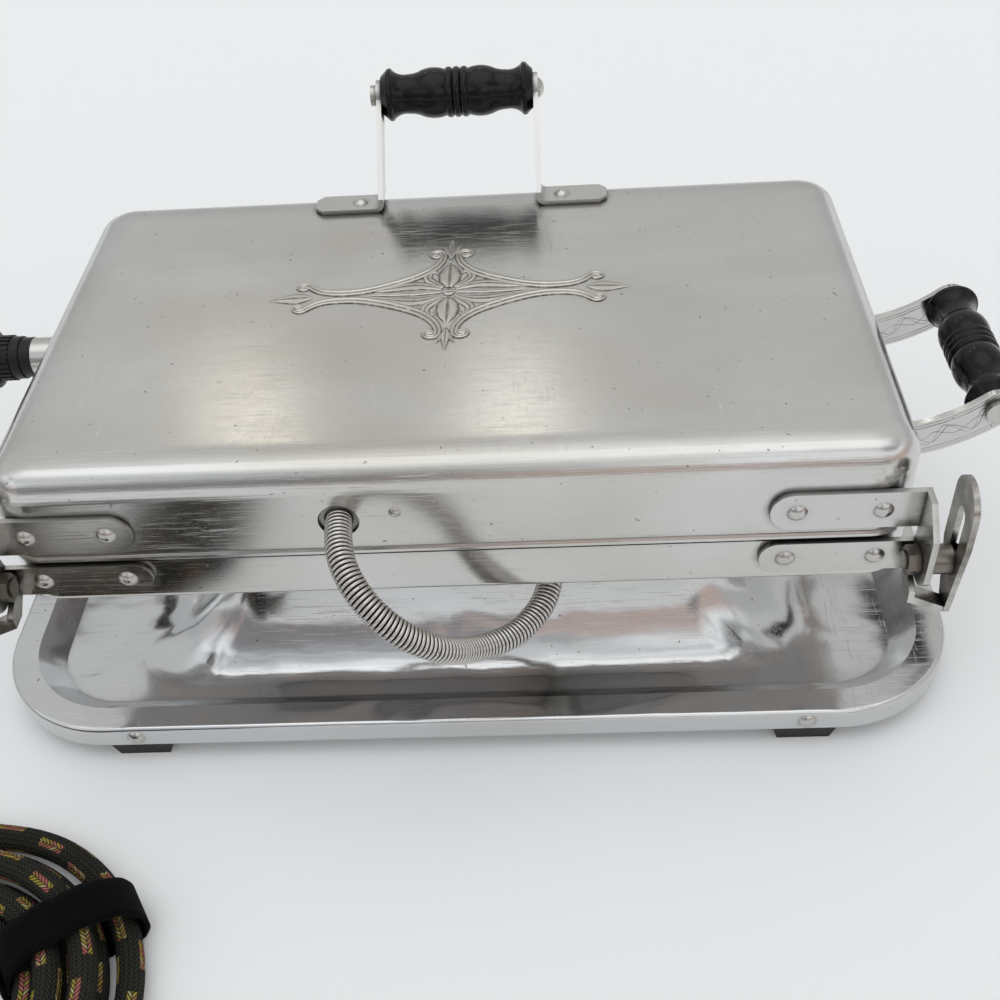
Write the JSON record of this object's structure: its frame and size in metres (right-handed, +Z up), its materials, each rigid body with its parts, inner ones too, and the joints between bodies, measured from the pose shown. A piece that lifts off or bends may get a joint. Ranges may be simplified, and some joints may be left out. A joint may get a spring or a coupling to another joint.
{
  "type": "electric waffle maker",
  "caption": "Rectangular twin-grid waffle iron with a pressed tray, flared pedestal, slotted floating hinges, turned black grips, a spring-armoured lead and a coiled cloth cord",
  "frame": {"origin": "middle of the appliance's bounding box, without its cord, on the surface that it stands on", "axes": "+X along the casings towards the carrying handle, +Y towards the lid handle, +Z up; the hinges are on the -Y side"},
  "size_m": [0.5105, 0.3978, 0.1682],
  "materials": {
    "nickel_plate": "polished nickel plate, finely brushed, scratched and stained",
    "nickel_fitting": "nickel plate, worn",
    "hinge_steel": "nickel worn through to darkened steel",
    "steel": "plain bright steel, dulled",
    "spring_steel": "round wire wound close, dulled",
    "cast_grid": "cast iron, seasoned",
    "black_wood": "turned wood, glossy black enamel",
    "fibre": "pressed black fibre",
    "insulator": "pressed mica and porcelain",
    "brass": "bare brass",
    "plug_black": "moulded black composition",
    "cord_braid": "braided cotton over rubber, with coloured tracer threads",
    "tie_cloth": "black hook and loop tape"
  },
  "bodies": {
    "base": {"tray": "nickel_plate", "tray_feet": "fibre", "foot_screws": "steel", "pedestal": "nickel_plate", "tie_bolts": "steel", "lower_casing": "nickel_plate", "lower_grid": "cast_grid", "lower_grid_screws": "steel", "lower_mica": "insulator", "lower_element": "steel", "lower_heat_shield": "steel", "hinge_bracket_left": "hinge_steel", "hinge_bracket_right": "hinge_steel", "lower_strap_rivets": "steel", "carrying_arm_front": "nickel_fitting", "carrying_arm_rear": "nickel_fitting", "side_grip": "black_wood", "carrying_rod": "steel", "arm_rivets": "steel", "base_ferrule": "nickel_fitting", "spring_conduit": "spring_steel", "inlet_guard": "nickel_fitting", "inlet_insulator": "insulator", "inlet_pins": "brass", "appliance_plug": "plug_black", "plug_ribbed_ring": "plug_black", "plug_strain_relief": "plug_black", "cord_lead": "cord_braid", "cord_coil": "cord_braid", "cord_tie": "tie_cloth", "cord_tail": "cord_braid", "wall_plug": "plug_black", "wall_plug_blades": "brass"},
    "pivot": {"pivot_bolts": "hinge_steel", "pivot_nuts": "hinge_steel", "pivot_collars": "hinge_steel"},
    "lid": {"lid_shell": "nickel_plate", "upper_grid": "cast_grid", "upper_grid_brackets": "steel", "upper_grid_screws": "steel", "upper_mica": "insulator", "upper_element": "steel", "upper_heat_shield": "steel", "lid_strap_left": "hinge_steel", "lid_strap_right": "hinge_steel", "upper_strap_rivets": "steel", "handle_post_left": "nickel_fitting", "handle_post_right": "nickel_fitting", "lid_grip": "black_wood", "lid_handle_rod": "steel", "handle_rivets": "steel", "lid_ferrule": "nickel_fitting", "lid_terminal_block": "insulator", "lid_terminal_rivet": "steel"}
  },
  "joints": [
    {"name": "hinge_float", "type": "slide", "parent": "base", "child": "pivot", "axis": [0, 0, 1], "range_m": [0, 0.019], "deforming": ["spring_conduit"]},
    {"name": "lid_open", "type": "hinge", "parent": "pivot", "child": "lid", "pos_m": [-0.00995, -0.09425, 0.0865], "axis": [1, 0, 0], "range_deg": [0, 100], "deforming": ["spring_conduit"]}
  ]
}
